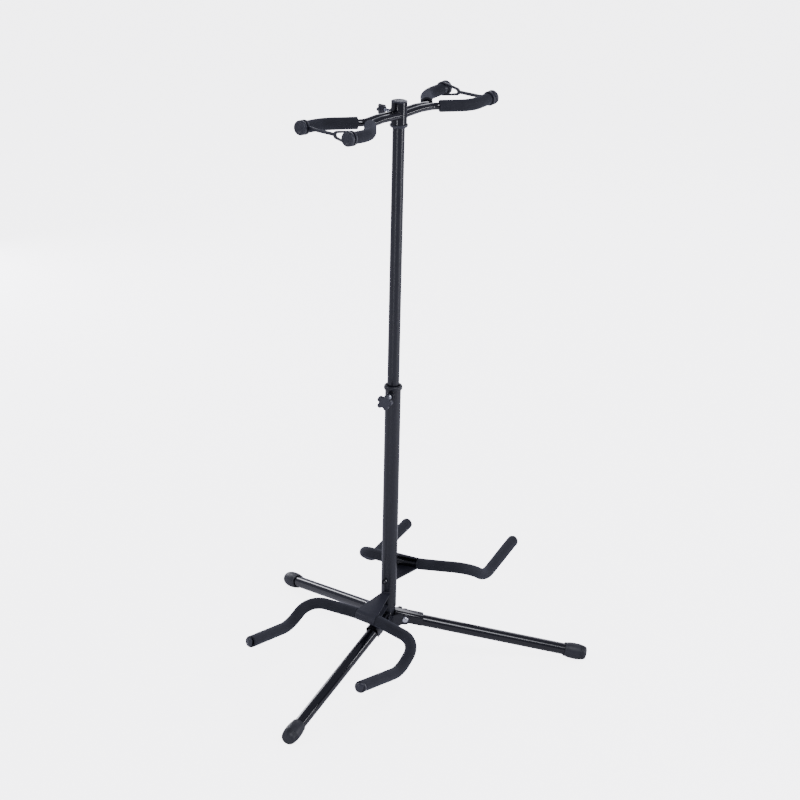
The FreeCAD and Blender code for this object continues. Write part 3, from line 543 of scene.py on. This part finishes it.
# The height clamp: a threaded boss welded to the pole, a zinc-plated screw and a moulded star
# knob. The head has a smaller one.
def threaded(name, foot, along, radius, pitch, length, body, node):
    """A screw with its real helical thread; radius, pitch and length in mm."""
    root = radius - 0.6 * pitch
    flank = [(root, 0, 0), (radius, 0, pitch / 2), (root, 0, pitch)]
    mesh = bpy.data.meshes.new(name)
    mesh.from_pydata([Vector(corner) * MM for corner in flank], [(0, 1), (1, 2)], [])
    piece = laid(name, mesh)
    modified(piece, "SCREW", axis="Z", steps=28, render_steps=28, screw_offset=pitch * MM,
             iterations=math.ceil(length / pitch) + 2, use_merge_vertices=True, merge_threshold=0.001 * MM)
    # cut off the ragged first and last turn
    waste = 1.1 * pitch
    bpy.ops.object.mode_set(mode="EDIT")
    for height, direction in ((waste, 1), (waste + length, -1)):
        bpy.ops.mesh.select_all(action="SELECT")
        bpy.ops.mesh.bisect(plane_co=(0, 0, height * MM), plane_no=(0, 0, direction), use_fill=True,
                            clear_inner=True)
    bpy.ops.mesh.select_all(action="SELECT")
    bpy.ops.mesh.normals_make_consistent(inside=False)
    bpy.ops.object.mode_set(mode="OBJECT")
    tilt = Vector(along).to_track_quat("Z", "Y")
    piece.matrix_world = Matrix.LocRotScale(foot - Vector(along) * (waste * MM), tilt, None)
    bpy.ops.object.transform_apply(location=True, rotation=True, scale=True)
    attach(piece, body)
    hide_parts(node)
    return dressed(piece, bright_zinc, 30)


for clamp, wall, radius, pitch, body in (("height", "pole_tube", 3.0, 1.0, "base"),
                                         ("head", "head_sleeve", 2.5, 0.8, "head")):
    knob = f"{clamp}_clamp_knob"
    turn = joints[f"{clamp}_clamp_knob_turn"]
    along = Vector(turn["axis"]).normalized()
    centre = Vector((0, 0, turn["pos_m"][2]))
    near, far, _ = run_of(f"{clamp}_clamp_screw", along)
    threaded(f"{clamp}_screw_thread", centre + along * near.dot(along), along, radius, pitch,
             (far - near).length / MM, knob, f"{clamp}_clamp_screw")
    softened(f"{clamp}_star_knob", knob, knob, 0.55, abs_plastic)
    softened(f"{clamp}_clamp_boss", f"{clamp}_clamp_nut", body, 0.35, satin_coat)
    # the seam of the boss on the tube's round wall
    boss_low, boss_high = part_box(f"{clamp}_clamp_nut")
    boss_radius = (boss_high.z - boss_low.z) / 2
    wall_radius = half_width(wall)
    sideways = along.cross(Vector((0, 0, 1)))
    path = []
    for k in range(90):
        angle = 2 * math.pi * k / 90
        across = boss_radius * math.cos(angle)
        path.append(centre + sideways * across + Vector((0, 0, boss_radius * math.sin(angle)))
                    + along * math.sqrt(wall_radius ** 2 - across ** 2))
    weld_bead(f"{clamp}_boss_weld", path, body, satin_coat, 0.7, ring=True)


# --- head -------------------------------------------------------------------------------------
# A short tube that turns on the mast in a plastic bush, closed by a crowned plastic plug. Two
# pairs of gloss black tubes are welded to it, side by side, and part into the neck forks.
finish(gloss_coat, "head_sleeve")
sleeve_low, sleeve_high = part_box("head_sleeve")
mast_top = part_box("mast_tube")[1].z
seat = (mast_top - sleeve_high.z) / MM + 0.8        # the plug stops just above the mast
crown = [(0.5, seat), (11.1, seat), (11.1, 0.0), (12.2, 0.0), (12.45, 0.3), (12.45, 0.9), (12.2, 1.4),
         (11.5, 1.85), (10.0, 2.2), (8.0, 2.4), (7.6, 2.0), (7.2, 1.9), (5.0, 2.1), (0.5, 2.2)]
plug = turned("crowned_plug", crown, Vector((0, 0, sleeve_high.z)), (0, 0, 1), "head", "head_crown", 96)
dressed(plug, abs_plastic, 30)
bush_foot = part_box("head_bush")[0].z
flange = (sleeve_low.z - bush_foot) / MM
bush_top = (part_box("head_bush")[1].z - bush_foot) / MM
bush = [(bore, 0.4), (bore + 0.6, 0.0), (11.0, 0.0), (12.2, 0.5), (13.4, 1.7), (13.9, 2.9),
        (14.0, flange - 1.4), (13.8, flange - 0.5), (13.3, flange), (11.1, flange), (11.1, bush_top),
        (bore, bush_top), (bore, 0.4)]
ring = turned("swivel_bush", bush, Vector((0, 0, bush_foot)), (0, 0, 1), "head", "head_bush", 96)
dressed(ring, abs_plastic, 30)

# where each fork tube meets the sleeve: the seam of two round tubes at right angles, in mm
sleeve_radius = 12.3
fork_radius = 5.6
half_gap = 5.65
root_level = 915.1
bead_out = 0.2
for name in ("front", "rear"):
    hinge = Vector(joints[f"{name}_strap_swing"]["axis"])
    out = Vector((hinge.x, hinge.y, 0)).normalized()
    sideways = Vector((0, 0, 1)).cross(out)
    for side, sign in (("a", 1), ("b", -1)):
        finish(gloss_coat, f"{name}_fork_tube_{side}")
        path = []
        for k in range(80):
            angle = 2 * math.pi * k / 80
            across = sign * half_gap + fork_radius * math.cos(angle)
            reach = math.sqrt(sleeve_radius ** 2 - across ** 2) + bead_out
            height = root_level + fork_radius * math.sin(angle)
            path.append((sideways * across + out * reach + Vector((0, 0, height))) * MM)
        weld_bead(f"{name}_fork_weld_{side}", path, "head", gloss_coat, 0.8, ring=True)
        foam_sleeve(f"{name}_prong_foam_{side}", f"{name}_fork_foam_{side}", "head")


# Each prong ends in a rubber cap: a neck that the strap turns on and a thick rounded flange with a
# dished face. The closing strap is one moulding of the same rubber.
# softer black than the coats, with a faint sheen on the flange
tube_depth = 4.9            # of solid rubber beyond the tube's end
cap_rubber = moulded_rubber("moulded black cap rubber", "#1d1e26", "#2a2b35", 0.42)
for name in ("front", "rear"):
    for side in ("a", "b"):
        inner, outer, along = run_of(f"{name}_fork_cap_{side}", joints[f"{name}_strap_swing"]["axis"])
        tall = (outer - inner).length / MM
        tube_end = tall - tube_depth
        moulding = [(0.5, tube_end), (5.62, tube_end), (5.62, 0.4), (6.0, 0.0), (8.2, 0.0), (8.5, 0.3),
                    (8.5, tall - 8.1), (9.1, tall - 7.7), (10.3, tall - 7.3), (11.0, tall - 6.5),
                    (11.25, tall - 5.2), (11.25, tall - 2.8), (11.0, tall - 1.5), (10.4, tall - 0.6),
                    (9.5, tall - 0.1), (8.3, tall), (7.5, tall - 0.2), (7.0, tall - 0.7), (6.6, tall - 0.9),
                    (4.0, tall - 0.8), (0.5, tall - 0.7)]
        cap = turned(f"{name}_prong_cap_{side}", moulding, inner, along, "head",
                     f"{name}_fork_cap_{side}", 64)
        dressed(cap, cap_rubber)
    softened(f"{name}_closing_strap", f"{name}_strap", f"{name}_strap", 0.9, cap_rubber)
